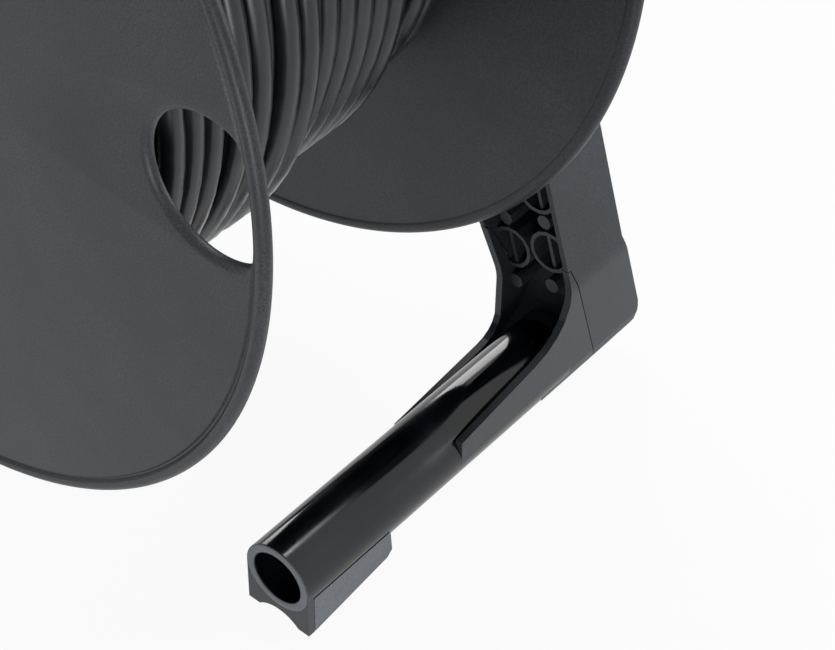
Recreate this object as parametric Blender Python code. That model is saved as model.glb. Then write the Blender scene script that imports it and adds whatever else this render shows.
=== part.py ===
"""Fibre optic cable on a drum with a one-sided carrying stand.

The drum turns on an axle that stands out from a moulded side frame. The axle runs along X,
the front foot is on the -Y side, Z is up and the floor is at z = 0.
Sizes are in metres: mm turns a value in millimetres into one.
"""
import math

import bmesh
import bpy
from mathutils import Matrix, Vector

mm = 0.001

# Clearance between two pieces that touch
FIT = 0.3 * mm

# Drum
FLANGE_R = 155 * mm
DRUM_INSIDE = 139.6 * mm
WEB = 3.0 * mm
RIM_BAND = 4.0 * mm
RIM_PROUD = 0.5 * mm
RIM_GROOVE = 0.4 * mm
CORE_R = 74.5 * mm
CORE_WALL = 3.0 * mm
SLOT_ABOVE = 24 * mm
SLOT_BELOW = 30 * mm
HAND_HOLE_R = 20 * mm
HAND_HOLE_IN = 16.3 * mm
HAND_HOLE_LAND = 0.6 * mm
HAND_HOLE_ANGLE = math.radians(3.2)
TIE_COUNT = 4
TIE_R = 2.5 * mm
TIE_HEAD_R = 4.6 * mm
TIE_HEAD = 2.4 * mm
TIE_NUT = 4.0 * mm
TIE_ACROSS = 8.0 * mm

# Hub cup in the near flange, where the inner connector is stowed
CUP_R = 62.5 * mm
CUP_WALL = 3.0 * mm
CUP_DEPTH = 31 * mm
HUB_R = 19 * mm

# Axle and bearings
AXLE_R = 8 * mm
AXLE_HEIGHT = 184.5 * mm
BUSH_WALL = 3.6 * mm
BUSH_LENGTH = 18 * mm
BUSH_HEAD = 1.6 * mm
WASHER = 1.6 * mm
COLLAR_R = 14 * mm
COLLAR = 7.8 * mm
NUT_ACROSS = 24 * mm
NUT_HIGH = 8 * mm
CAP_WALL = 2.0 * mm

# Side frame
FRAME_CLEAR = 8.2 * mm
FRAME_DEPTH = 27 * mm
FRAME_WALL = 1.8 * mm
FRAME_BACK = 3.0 * mm
RIB_DROP = 4.5 * mm
RIB_WALL = 1.3 * mm
RIB_RING_R = 7.5 * mm
RIB_PIN_R = 2.5 * mm
RIB_STEP = 21.3 * mm
RIB_ROWS = 3
LEG_OUT_Y = 133.6 * mm
KNEE_Z = 52 * mm
ARCH_Y = 59.3 * mm
ARCH_Z = 136.5 * mm
ARCH_FILLET = 34 * mm
HEAD_Y = 22.5 * mm
HEAD_RISE = 24 * mm
HEAD_FILLET = 21 * mm
INSIDE_Y = 104.6 * mm
INSIDE_Z = 43 * mm
WINDOW_LOW = (40 * mm, 60 * mm)
WINDOW_HIGH = (19 * mm, 150 * mm)
WINDOW_FILLET = 12 * mm
AXLE_BOSS_R = 24 * mm
HEEL_FLARE = 12 * mm
HEEL_TOP_Z = 56 * mm
HEEL_SEAT = 1 * mm
HEEL_INSET = 0.05 * mm
HEAD_BORE_R = 3 * mm
HEEL_PAD_LONG = 14 * mm
HEEL_PAD_WIDE = 14 * mm
HEEL_PAD_IN = 3.5 * mm

# Foot tubes
TUBE_Y = 121.7 * mm
TUBE_Z = 17.1 * mm
TUBE_R = 11.9 * mm
TUBE_BORE_R = 9.05 * mm
TUBE_TIP_X = -40.5 * mm
TUBE_END_X = 90 * mm
TUBE_PLUG = 6 * mm
END_PLATE = 2.5 * mm
SKIRT_FOOT = 4.2 * mm
SKIRT_ARCH = 3.2 * mm
PAD_LONG = 34.4 * mm
PAD_RISE = 5.2 * mm
GUSSET_WALL = 2.4 * mm
GUSSET_TIP_X = 29 * mm
GUSSET_TIP_Z = 25.9 * mm
GUSSET_ROOT_Z = 34.5 * mm
GUSSET_BEND = 18 * mm
GUSSET_DROP = 16 * mm
SEAM_TOP_X = 82 * mm
SEAM_TOP_Z = 58 * mm
SEAM_LEAN = 0.328
RAMP_X = 74 * mm
RAMP_TOP_Z = 50 * mm
RAMP_WALL = 2.4 * mm
LEG_RING_SHORT = 8 * mm
GUSSET_REAR_OUT = 3 * mm
FLOOR_SHORT = 4 * mm
FOOT_PIN_Z = (38.5 * mm, 44.5 * mm)
FOOT_PIN_Y = (109 * mm, 122.8 * mm)
FOOT_SCREW_R = 1.2 * mm
FOOT_SCREW_DEEP = 9 * mm

# Carrying bar over the drum
BAR_RISE = 202 * mm
BAR_R = 12 * mm
BAR_BORE_R = 9.5 * mm
GRIP_R = 15.5 * mm
GRIP_LONG = 104 * mm
GRIP_TO_FRAME = 2.3 * mm
BAR_BEYOND_GRIP = 9 * mm
GRIP_WAVES = 5
GRIP_WAVE = 0.9 * mm

# Drum brake
BRAKE_RISE = 46 * mm
BRAKE_PAD_R = 9 * mm
BRAKE_PAD = 3.2 * mm
BRAKE_GAP = 1.5 * mm
SPINDLE_R = 4 * mm
INSERT_R = 7 * mm
INSERT_LONG = 16 * mm
INSERT_OUT = 3 * mm
KNOB_R = 18 * mm
KNOB_LONG = 16 * mm
KNOB_LOBES = 6

# Cable
CABLE_R = 3.4 * mm
CABLE_PITCH = 6.95 * mm
CABLE_LAYERS = 5
LAYER_STEP = 6.05 * mm
TOP_TURNS_FROM = -54.4 * mm
TOP_TURNS_TO = -8 * mm
TOP_TURNS_RISE = 5 * mm

# Connectors
BOOT_LONG = 24 * mm
BODY_R = 8.5 * mm
BODY_LONG = 26 * mm
NOSE_R = 6.5 * mm
NOSE_LONG = 8 * mm
RING_R = 10.5 * mm
RING_LONG = 13 * mm
RING_FLUTES = 16
CAP_LONG = 14.5 * mm
OUTER_LEAVES = math.radians(0)
OUTER_RUN = 16 * mm
INNER_CHORD = 37 * mm
INNER_BOOT_Y = -38.5 * mm

# Places that follow from the sizes above
WEB_IN = DRUM_INSIDE / 2
WEB_OUT = WEB_IN + WEB
MOUTH_X = WEB_OUT + FRAME_CLEAR
BACK_X = MOUTH_X + FRAME_DEPTH
POCKET_X = BACK_X - FRAME_BACK
BOSS_BACK_X = BACK_X + 1 * mm
BAR_Z = AXLE_HEIGHT + BAR_RISE
BUSH_R = AXLE_R + FIT + BUSH_WALL
TIE_PLACE_R = (CUP_R + CORE_R - CORE_WALL) / 2
RIM_EDGE_R = FLANGE_R - RIM_BAND
HAND_HOLE_OUT = FLANGE_R - HAND_HOLE_IN
INSERT_END_X = BACK_X + INSERT_OUT
KNOB_X = INSERT_END_X + 1 * mm + BRAKE_GAP
X_MIN = -(WEB_OUT + TIE_HEAD)
X_MAX = KNOB_X + KNOB_LONG
X_MID = (X_MIN + X_MAX) / 2


def material(name, colour, roughness, metallic=0.0):
    made = bpy.data.materials.new(name)
    made.use_nodes = True
    shader = made.node_tree.nodes["Principled BSDF"]
    shader.inputs["Base Color"].default_value = (*colour, 1.0)
    shader.inputs["Roughness"].default_value = roughness
    shader.inputs["Metallic"].default_value = metallic
    return made


def empty(name, place, parent=None):
    made = bpy.data.objects.new(name, None)
    made.location = place
    made.parent = parent
    bpy.context.scene.collection.objects.link(made)
    return made


def finish(name, mesh, finish_material, parent, place=(0, 0, 0), turn=None):
    """Links a mesh to the scene as one named sub-part, with smooth round faces."""
    mesh.name = name
    mesh.materials.clear()
    mesh.materials.append(finish_material)
    mesh.shade_smooth()
    mesh.set_sharp_from_angle(angle=math.radians(32))
    made = bpy.data.objects.new(name, mesh)
    made.parent = parent
    made.location = place
    if turn is not None:
        made.rotation_euler = turn.to_euler()
    bpy.context.scene.collection.objects.link(made)
    return made


def to_mesh(bm):
    bmesh.ops.remove_doubles(bm, verts=bm.verts, dist=1e-7)
    bmesh.ops.recalc_face_normals(bm, faces=bm.faces)
    mesh = bpy.data.meshes.new("solid")
    bm.to_mesh(mesh)
    bm.free()
    return mesh


def turned(profile, steps):
    """A closed profile of (x, radius) points turned about X. A point on the axis is a pole."""
    bm = bmesh.new()
    rings = []
    for x, r in profile:
        if r < 1e-7:
            rings.append([bm.verts.new((x, 0, 0))] * steps)
            continue
        angles = [2 * math.pi * k / steps for k in range(steps)]
        rings.append([bm.verts.new((x, r * math.cos(a), r * math.sin(a))) for a in angles])
    for i, ring in enumerate(rings):
        after = rings[(i + 1) % len(rings)]
        for k in range(steps):
            n = (k + 1) % steps
            corners = []
            for vert in (ring[k], ring[n], after[n], after[k]):
                if vert not in corners:
                    corners.append(vert)
            if len(corners) > 2:
                bm.faces.new(corners)
    return to_mesh(bm)


def tube(x0, x1, outer, inner, steps):
    return turned([(x0, inner), (x0, outer), (x1, outer), (x1, inner)], steps)


def rod(x0, x1, radius, steps):
    return turned([(x0, 0), (x0, radius), (x1, radius), (x1, 0)], steps)


def hex_nut(x0, x1, across, bore):
    """A hexagon across the flats with a round bore, along X."""
    corner_r = across / 2 / math.cos(math.pi / 6)
    return cut(rod(x0, x1, corner_r, 6), rod(x0 - WEB, x1 + WEB, bore, 24))


def prism(outline, low, high, axis="X"):
    """An outline pushed along an axis: (y, z) points along X, or (x, z) points along Y."""
    bm = bmesh.new()
    ends = []
    for level in (low, high):
        if axis == "X":
            ends.append([bm.verts.new((level, a, b)) for a, b in outline])
        else:
            ends.append([bm.verts.new((a, level, b)) for a, b in outline])
    first, last = ends
    bm.faces.new(first)
    bm.faces.new(list(reversed(last)))
    for k in range(len(outline)):
        n = (k + 1) % len(outline)
        bm.faces.new((first[k], first[n], last[n], last[k]))
    return to_mesh(bm)


def moved(mesh, place=(0, 0, 0), turn=None):
    mesh.transform(Matrix.Translation(place) @ (turn.to_4x4() if turn else Matrix()))
    return mesh


def arc(centre, radius, start, end, steps):
    """Points on an arc, angles in radians, both ends included."""
    return [
        (
            centre[0] + radius * math.cos(start + (end - start) * k / steps),
            centre[1] + radius * math.sin(start + (end - start) * k / steps),
        )
        for k in range(steps + 1)
    ]


def rounded(corners, steps=5):
    """An outline with each (point, radius) corner replaced by an arc."""
    outline = []
    count = len(corners)
    for k, (point, radius) in enumerate(corners):
        here = Vector(point)
        if radius <= 0:
            outline.append(tuple(here))
            continue
        before = (Vector(corners[k - 1][0]) - here).normalized()
        after = (Vector(corners[(k + 1) % count][0]) - here).normalized()
        half = before.angle(after) / 2
        along = radius / math.tan(half)
        centre = here + (before + after).normalized() * (radius / math.sin(half))
        start = here + before * along - centre
        end = here + after * along - centre
        sweep = start.angle_signed(end)
        for j in range(steps + 1):
            turn = Matrix.Rotation(-sweep * j / steps, 2)
            outline.append(tuple(centre + turn @ start))
    return outline


def inset(outline, distance):
    """The outline moved inwards by a distance, or outwards if it is negative."""
    area = sum(
        a[0] * b[1] - b[0] * a[1] for a, b in zip(outline, outline[1:] + outline[:1])
    )
    side = 1 if area > 0 else -1
    made = []
    count = len(outline)
    for k in range(count):
        here = Vector(outline[k])
        ahead = (Vector(outline[(k + 1) % count]) - here).normalized()
        behind = (here - Vector(outline[k - 1])).normalized()
        normals = [Vector((-d.y, d.x)) * side for d in (behind, ahead)]
        both = (normals[0] + normals[1]).normalized()
        made.append(tuple(here + both * (distance / max(both.dot(normals[0]), 0.3))))
    return made


def combined(first, second, operation):
    """Two solids joined, cut or intersected by an exact Boolean."""
    host = bpy.data.objects.new("host", first)
    tool = bpy.data.objects.new("tool", second)
    for item in (host, tool):
        bpy.context.scene.collection.objects.link(item)
    step = host.modifiers.new("step", "BOOLEAN")
    step.operation = operation
    step.solver = "EXACT"
    step.object = tool
    bpy.context.view_layer.update()
    graph = bpy.context.evaluated_depsgraph_get()
    made = bpy.data.meshes.new_from_object(host.evaluated_get(graph))
    for item in (host, tool):
        bpy.data.objects.remove(item, do_unlink=True)
    return made


def cut(first, *tools):
    for tool in tools:
        first = combined(first, tool, "DIFFERENCE")
    return first


def join(first, *others):
    for other in others:
        first = combined(first, other, "UNION")
    return first


def group(meshes):
    """Several separate solids in one mesh."""
    bm = bmesh.new()
    for mesh in meshes:
        bm.from_mesh(mesh)
    made = bpy.data.meshes.new("group")
    bm.to_mesh(made)
    bm.free()
    return made


def around(count, radius, start=0.0):
    """Places evenly round the axle, as (y, z) from its centre."""
    angles = [start + 2 * math.pi * k / count for k in range(count)]
    return [(radius * math.cos(a), radius * math.sin(a)) for a in angles]


def mirrored(mesh):
    """The same solid on the other side of the XZ plane."""
    bm = bmesh.new()
    bm.from_mesh(mesh)
    bmesh.ops.scale(bm, vec=(1, -1, 1), verts=bm.verts)
    bmesh.ops.reverse_faces(bm, faces=bm.faces)
    made = bpy.data.meshes.new("mirrored")
    bm.to_mesh(made)
    bm.free()
    return made


# The scene starts empty

for item in list(bpy.data.objects):
    bpy.data.objects.remove(item, do_unlink=True)

DRUM_PLASTIC = material("drum_plastic", (0.050, 0.052, 0.056), 0.55)
FRAME_PLASTIC = material("frame_plastic", (0.045, 0.048, 0.053), 0.50)
FOOT_PLASTIC = material("foot_plastic", (0.012, 0.013, 0.016), 0.25)
PAD_PLASTIC = material("pad_plastic", (0.080, 0.084, 0.090), 0.60)
CABLE_JACKET = material("cable_jacket", (0.030, 0.032, 0.036), 0.45)
BLACK_RUBBER = material("black_rubber", (0.015, 0.015, 0.016), 0.80)
STEEL = material("zinc_plated_steel", (0.55, 0.56, 0.58), 0.35, 1.0)
BRASS = material("brass", (0.60, 0.45, 0.20), 0.35, 1.0)
SHELL_METAL = material("black_anodised_shell", (0.040, 0.040, 0.044), 0.35, 0.6)
BEARING_NYLON = material("bearing_nylon", (0.55, 0.54, 0.50), 0.50)

root = empty("reel", (-X_MID, 0, 0))
drum = empty("drum", (0, 0, AXLE_HEIGHT), root)


# Flanges: a flat web with a rounded rim that stands proud on the winding side

def flange_profile(inner_r, side):
    """The (x, radius) outline of a flange. side is -1 for the near one, 1 for the far one."""
    outside = WEB_OUT - RIM_GROOVE / 4
    inside = WEB_IN - RIM_PROUD
    middle = (outside + inside) / 2
    half = (outside - inside) / 2
    tall = RIM_BAND - RIM_GROOVE
    crown = [
        (side * (middle + half * a), RIM_EDGE_R + RIM_GROOVE + tall * b)
        for a, b in arc((0, 0), 1, 0, math.pi, 6)
    ]
    return [
        (side * WEB_IN, inner_r),
        (side * WEB_OUT, inner_r),
        (side * WEB_OUT, RIM_EDGE_R - RIM_GROOVE),
        (side * (WEB_OUT - RIM_GROOVE), RIM_EDGE_R),
        *crown,
        (side * inside, RIM_EDGE_R),
        (side * WEB_IN, RIM_EDGE_R - RIM_PROUD),
    ]


def tie_cutters(x0, x1):
    return [
        moved(rod(x0, x1, TIE_R + FIT, 12), (0, y, z))
        for y, z in around(TIE_COUNT, TIE_PLACE_R, math.pi / TIE_COUNT)
    ]


def hand_hole():
    """A round hole beside the rim, cut off by the rim band with soft corners."""
    limit = RIM_EDGE_R - HAND_HOLE_LAND
    outline = []
    for k in range(40):
        a = 2 * math.pi * k / 40
        to_rim = math.sqrt(limit**2 - (HAND_HOLE_OUT * math.sin(a)) ** 2)
        to_rim -= HAND_HOLE_OUT * math.cos(a)
        reach = (HAND_HOLE_R**-14 + to_rim**-14) ** (-1 / 14)
        outline.append((-HAND_HOLE_OUT - reach * math.cos(a), reach * math.sin(a)))
    shape = prism(outline, -WEB_OUT - WEB, -WEB_IN + WEB)
    return moved(shape, turn=Matrix.Rotation(-HAND_HOLE_ANGLE, 3, "X"))


near = turned(flange_profile(CUP_R + FIT, -1), 64)
near = cut(near, hand_hole(), group(tie_cutters(-WEB_OUT - WEB, -WEB_IN + WEB)))
finish("flange_near", near, DRUM_PLASTIC, drum)

far_hub = WEB_OUT
far_outline = flange_profile(BUSH_R + FIT, 1)
far_outline[0:2] = [
    (WEB_IN, HUB_R),
    (far_hub - BUSH_LENGTH, HUB_R),
    (far_hub - BUSH_LENGTH, BUSH_R + FIT),
    (far_hub, BUSH_R + FIT),
]
far = turned(far_outline, 64)
far = cut(far, group(tie_cutters(WEB_IN - WEB, WEB_OUT + WEB)))
finish("flange_far", far, DRUM_PLASTIC, drum)


# Core tube between the flanges, with a slot where the cable comes out of the core

CORE_END = WEB_IN - FIT
core = tube(-CORE_END, CORE_END, CORE_R, CORE_R - CORE_WALL, 48)
slot = prism(
    [
        (-CORE_R - CORE_WALL, -SLOT_BELOW),
        (-CORE_R - CORE_WALL, SLOT_ABOVE),
        (-CUP_R + CUP_WALL, SLOT_ABOVE),
        (-CUP_R + CUP_WALL, -SLOT_BELOW),
    ],
    -CORE_END - WEB,
    -CORE_END + CUP_DEPTH * 0.75,
)
core = cut(core, slot)
finish("core_tube", core, DRUM_PLASTIC, drum)


# Hub cup: closes the core at the near side and carries the near bearing

cup_floor = -(WEB_OUT - CUP_DEPTH)
cup_lip = -WEB_IN + FIT
cup_inner = CUP_R - CUP_WALL
hub_end = cup_floor - 15 * mm
cup = turned(
    [
        (-WEB_OUT, cup_inner),
        (-WEB_OUT, CUP_R),
        (cup_lip, CUP_R),
        (cup_lip, CORE_R - CORE_WALL - FIT),
        (cup_lip + WEB, CORE_R - CORE_WALL - FIT),
        (cup_lip + WEB, CUP_R),
        (cup_floor + CUP_WALL, CUP_R),
        (cup_floor + CUP_WALL, BUSH_R + FIT),
        (hub_end, BUSH_R + FIT),
        (hub_end, HUB_R),
        (cup_floor, HUB_R),
        (cup_floor, cup_inner),
    ],
    48,
)
cable_window = prism(
    [
        (-CORE_R - CORE_WALL, -0.632 * CUP_R),
        (-CORE_R - CORE_WALL, 0.224 * CUP_R),
        (-1.024 * CUP_R, 0.224 * CUP_R),
        (-0.8 * CUP_R, -0.128 * CUP_R),
        (-0.64 * CUP_R, -0.632 * CUP_R),
    ],
    cup_lip - FIT,
    cup_floor - 2 * mm,
)
cup = cut(cup, cable_window, group(tie_cutters(cup_lip - WEB, cup_lip + 2 * WEB)))
finish("hub_cup", cup, DRUM_PLASTIC, drum)


# Through bolts and nuts that clamp the flanges on the core

for number, (y, z) in enumerate(around(TIE_COUNT, TIE_PLACE_R, math.pi / TIE_COUNT), 1):
    head = -WEB_OUT - FIT
    shank_end = WEB_OUT + FIT + TIE_NUT + FIT
    bolt = turned(
        [
            (head - TIE_HEAD + FIT, 0),
            (head - TIE_HEAD + FIT, TIE_HEAD_R * 0.6),
            (head - TIE_HEAD / 3, TIE_HEAD_R),
            (head, TIE_HEAD_R),
            (head, TIE_R),
            (shank_end, TIE_R),
            (shank_end, 0),
        ],
        12,
    )
    finish(f"tie_bolt_{number}", bolt, STEEL, drum, (0, y, z))
    nut = hex_nut(WEB_OUT + FIT, WEB_OUT + FIT + TIE_NUT, TIE_ACROSS, TIE_R + FIT)
    finish(f"tie_nut_{number}", nut, STEEL, drum, (0, y, z))


# Flanged bearing bushes

def bush(x_head, x_end):
    """A bush whose head is at x_head and whose sleeve runs to x_end."""
    step = math.copysign(BUSH_HEAD, x_end - x_head)
    return turned(
        [
            (x_head, AXLE_R + FIT),
            (x_head, BUSH_R + BUSH_WALL / 2),
            (x_head + step, BUSH_R + BUSH_WALL / 2),
            (x_head + step, BUSH_R),
            (x_end, BUSH_R),
            (x_end, AXLE_R + FIT),
        ],
        32,
    )


near_face = hub_end - FIT - BUSH_HEAD
far_face = far_hub + FIT + BUSH_HEAD
finish("bush_near", bush(near_face, near_face + BUSH_LENGTH), BEARING_NYLON, drum)
finish("bush_far", bush(far_face, far_face - BUSH_LENGTH), BEARING_NYLON, drum)


# Axle: a steel bar with a collar against the frame and a nut behind it

collar_x = far_face + WASHER + 2 * FIT + COLLAR
boss_x = collar_x + FIT
near_end = near_face - FIT - WASHER - FIT - WASHER - 3 * mm
nut_x = BOSS_BACK_X + FIT + WASHER + FIT
axle_end = nut_x + NUT_HIGH + 2 * mm
axle = turned(
    [
        (near_end, 0),
        (near_end, AXLE_R - 1 * mm),
        (near_end + 1 * mm, AXLE_R),
        (far_face + WASHER + 2 * FIT, AXLE_R),
        (far_face + WASHER + 2 * FIT, COLLAR_R),
        (collar_x, COLLAR_R),
        (collar_x, AXLE_R),
        (axle_end - 1 * mm, AXLE_R),
        (axle_end, AXLE_R - 1 * mm),
        (axle_end, 0),
    ],
    32,
)
at_axle = (0, 0, AXLE_HEIGHT)
finish("axle", axle, STEEL, root, at_axle)
for name, x in (
    ("washer_near", near_face - FIT - WASHER),
    ("washer_far", far_face + FIT),
    ("washer_back", BOSS_BACK_X + FIT),
):
    finish(name, tube(x, x + WASHER, COLLAR_R, AXLE_R + FIT, 24), STEEL, root, at_axle)
ring_x = near_face - 2 * FIT - WASHER
retaining = tube(ring_x - WASHER, ring_x, AXLE_R + 4 * mm, AXLE_R + FIT / 2, 32)
ring_mouth = [(0, -3 * mm), (20 * mm, -5 * mm), (20 * mm, 5 * mm), (0, 3 * mm)]
gap = prism(ring_mouth, ring_x - 4 * mm, ring_x + 1 * mm)
finish("retaining_ring", cut(retaining, gap), STEEL, root, at_axle)
nut_outer = NUT_ACROSS / 2 / math.cos(math.pi / 6)
axle_nut = hex_nut(nut_x, nut_x + NUT_HIGH, NUT_ACROSS, AXLE_R + FIT)
finish("axle_nut", axle_nut, STEEL, root, at_axle)
cap_r = max(nut_outer, COLLAR_R) + FIT + CAP_WALL
cap_top = axle_end + FIT + CAP_WALL
cap = turned(
    [
        (BOSS_BACK_X + FIT, cap_r - CAP_WALL),
        (BOSS_BACK_X + FIT, cap_r),
        (cap_top - 2 * mm, cap_r),
        (cap_top, cap_r - 2 * mm),
        (cap_top, 0),
        (cap_top - CAP_WALL, 0),
        (cap_top - CAP_WALL, cap_r - CAP_WALL),
    ],
    40,
)
finish("axle_cap", cap, FRAME_PLASTIC, root, at_axle)


# Side frame: an A-shaped channel open towards the drum, with a rib grid in its legs

leg_lean = (LEG_OUT_Y - HEAD_Y) / (BAR_Z + HEAD_RISE - KNEE_Z)
bottom_z = TUBE_Z - TUBE_R
half_outline = [
    ((-LEG_OUT_Y, bottom_z), TUBE_R - 1 * mm),
    ((-LEG_OUT_Y, KNEE_Z), 20 * mm),
    ((-HEAD_Y, BAR_Z + HEAD_RISE), HEAD_FILLET),
]
half_arch = [
    ((-ARCH_Y, ARCH_Z), ARCH_FILLET),
    ((-INSIDE_Y, INSIDE_Z), 14 * mm),
    ((-INSIDE_Y, bottom_z), 8 * mm),
]


def other_side(corners):
    return [((-y, z), r) for (y, z), r in reversed(corners)]


outline = rounded(half_outline + other_side(half_outline) + other_side(half_arch) + half_arch)
window = [
    ((-WINDOW_LOW[0], AXLE_HEIGHT + WINDOW_LOW[1]), WINDOW_FILLET),
    ((-WINDOW_HIGH[0], AXLE_HEIGHT + WINDOW_HIGH[1]), WINDOW_FILLET),
]
window = rounded(window + other_side(window))


def frame_body():
    """The channel: outer walls, walls round the window and a closed back."""
    outside = prism(outline, MOUTH_X, BACK_X)
    pocket = prism(inset(outline, FRAME_WALL), MOUTH_X - WEB, POCKET_X)
    window_wall = prism(inset(window, -FRAME_WALL), MOUTH_X - 2 * WEB, BACK_X + WEB)
    pocket = cut(pocket, window_wall)
    return cut(outside, pocket, prism(window, MOUTH_X - WEB, BACK_X + WEB))


rib_x = MOUTH_X + RIB_DROP
embed_x = POCKET_X + FRAME_BACK / 2
lean = math.atan(leg_lean)
along = Vector((math.sin(lean), math.cos(lean)))
columns = [Vector((-106.5 * mm, 51.2 * mm)), Vector((-121 * mm, 57.4 * mm))]


def leg_ribs():
    """Two columns of rings on one leg, each column on a straight rib, with pins between."""
    solids = []
    for column in columns:
        start = column - along * RIB_RING_R
        end = column + along * ((RIB_ROWS - 1) * RIB_STEP + RIB_RING_R)
        across = Vector((along.y, -along.x)) * (RIB_WALL / 2)
        strip = [start - across, start + across, end + across, end - across]
        solids.append(prism([tuple(p) for p in strip], rib_x + 1 * mm, embed_x))
        for k in range(RIB_ROWS):
            centre = column + along * (RIB_STEP * k)
            ring = tube(rib_x, embed_x, RIB_RING_R, RIB_RING_R - RIB_WALL, 14)
            solids.append(moved(ring, (0, centre.x, centre.y)))
            if k < RIB_ROWS - 1:
                pin = centre + along * (RIB_STEP / 2)
                pin_x = rib_x + 0.4 * mm
                solids.append(moved(rod(pin_x, embed_x, RIB_PIN_R, 8), (0, pin.x, pin.y)))
    inside = prism(inset(outline, FRAME_WALL / 3), MOUTH_X, embed_x + WEB)
    return combined(join(*solids), inside, "INTERSECT")


def foot_side_of_seam(gap):
    """The region of a leg that belongs to the foot moulding, grown by a gap."""
    shape = [
        (MOUTH_X - 80 * mm, -WEB),
        (MOUTH_X - 80 * mm, SEAM_TOP_Z + gap),
        (SEAM_TOP_X + gap, SEAM_TOP_Z + gap),
        (SEAM_TOP_X + SEAM_LEAN * (SEAM_TOP_Z + WEB) + gap, -WEB),
    ]
    return shape


brake_z = AXLE_HEIGHT + BRAKE_RISE
insert_start = INSERT_END_X - INSERT_LONG
boss_start = insert_start - 2 * mm
pin_places = [(side * y, z) for side in (-1, 1) for y, z in zip(FOOT_PIN_Y, FOOT_PIN_Z)]
bar_screw_places = [(y, BAR_Z) for y in (-7 * mm, 7 * mm)]

frame = frame_body()
seam_cut = prism(foot_side_of_seam(FIT), -LEG_OUT_Y - WEB, LEG_OUT_Y + WEB, "Y")
frame = cut(frame, seam_cut)
heel_shape = [
    (BACK_X - 1 * mm, HEEL_TOP_Z),
    (BACK_X, HEEL_TOP_Z),
    (BACK_X + HEEL_FLARE - 0.3 * mm, TUBE_Z + 4 * mm),
    (BACK_X + HEEL_FLARE, TUBE_Z + 2 * mm),
    (BACK_X + HEEL_FLARE, TUBE_Z),
    (BACK_X + HEEL_FLARE * 0.9, TUBE_Z * 0.66),
    (BACK_X + HEEL_FLARE * 0.65, TUBE_Z * 0.4),
    (BACK_X + HEEL_FLARE * 0.3, bottom_z + FIT),
    (BACK_X - 1 * mm, bottom_z + FIT),
]
heel_bar = prism(heel_shape, -LEG_OUT_Y - WEB, LEG_OUT_Y + WEB, "Y")
leg_limit = prism(inset(outline, HEEL_INSET), BACK_X - 2 * mm, BACK_X + 2 * HEEL_FLARE)
frame = join(frame, combined(heel_bar, leg_limit, "INTERSECT"))
wide_bores = [
    moved(rod(POCKET_X - WEB, BACK_X + WEB, AXLE_R + 3 * mm, 32), at_axle),
    moved(rod(POCKET_X - WEB, BACK_X + WEB, INSERT_R + 2 * mm, 32), (0, 0, brake_z)),
]
screw_bores = [
    moved(rod(POCKET_X - WEB, BACK_X + 3 * HEEL_FLARE, FOOT_SCREW_R + FIT, 10), (0, y, z))
    for y, z in pin_places + bar_screw_places
]
head_bores = [
    moved(rod(BACK_X + HEEL_SEAT, BACK_X + 3 * HEEL_FLARE, HEAD_BORE_R, 14), (0, y, z))
    for y, z in pin_places
]
frame = cut(frame, *wide_bores, *screw_bores, *head_bores)
frame = join(frame, leg_ribs(), mirrored(leg_ribs()))
bosses = [
    moved(tube(boss_x, BOSS_BACK_X, AXLE_BOSS_R, AXLE_R + FIT, 40), at_axle),
    moved(tube(MOUTH_X + 1 * mm, embed_x, BAR_R + 4 * mm, BAR_R + FIT, 40), (0, 0, BAR_Z)),
    moved(tube(boss_start, INSERT_END_X - FIT, INSERT_R + 4 * mm, INSERT_R + FIT, 32), (0, 0, brake_z)),
]
frame = join(frame, *bosses)
finish("side_frame", frame, FRAME_PLASTIC, root)


# Feet: a tube along the floor with two gussets and a ramp that plug into the leg

def gusset(tip_y, root_y, drop):
    """An upright wall from the tip to the leg. drop lowers its open edge."""
    tip = Vector((GUSSET_TIP_X, GUSSET_TIP_Z - drop * 0.6))
    corner = Vector((MOUTH_X + 0.4 * mm, GUSSET_ROOT_Z - drop))
    bend_long = GUSSET_BEND - drop / 2
    bend_start = corner + (tip - corner).normalized() * bend_long
    bend_end = corner + Vector((0, bend_long))
    bend = [
        bend_start * (1 - t) ** 2 + corner * 2 * t * (1 - t) + bend_end * t * t
        for t in (k / 5 for k in range(6))
    ]
    top = [
        (GUSSET_TIP_X, TUBE_Z - 3 * mm - drop / 3),
        tuple(tip),
        *[tuple(p) for p in bend],
        (MOUTH_X + 1 * mm, bend_end.y),
        (MOUTH_X + 1 * mm, bottom_z),
        (MOUTH_X - 6 * mm, bottom_z),
        (MOUTH_X - 12 * mm, TUBE_Z - 3 * mm - drop / 3),
    ]
    wall = prism(top, 0, GUSSET_WALL, "Y")
    bm = bmesh.new()
    bm.from_mesh(wall)
    for vert in bm.verts:
        part_way = min(max((MOUTH_X - vert.co.x) / (MOUTH_X - GUSSET_TIP_X), 0), 1)
        vert.co.y += root_y + (tip_y - root_y) * part_way
    bm.to_mesh(wall)
    bm.free()
    leg_shape = prism(outline, GUSSET_TIP_X - WEB, BACK_X)
    return combined(wall, leg_shape, "INTERSECT")


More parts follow.
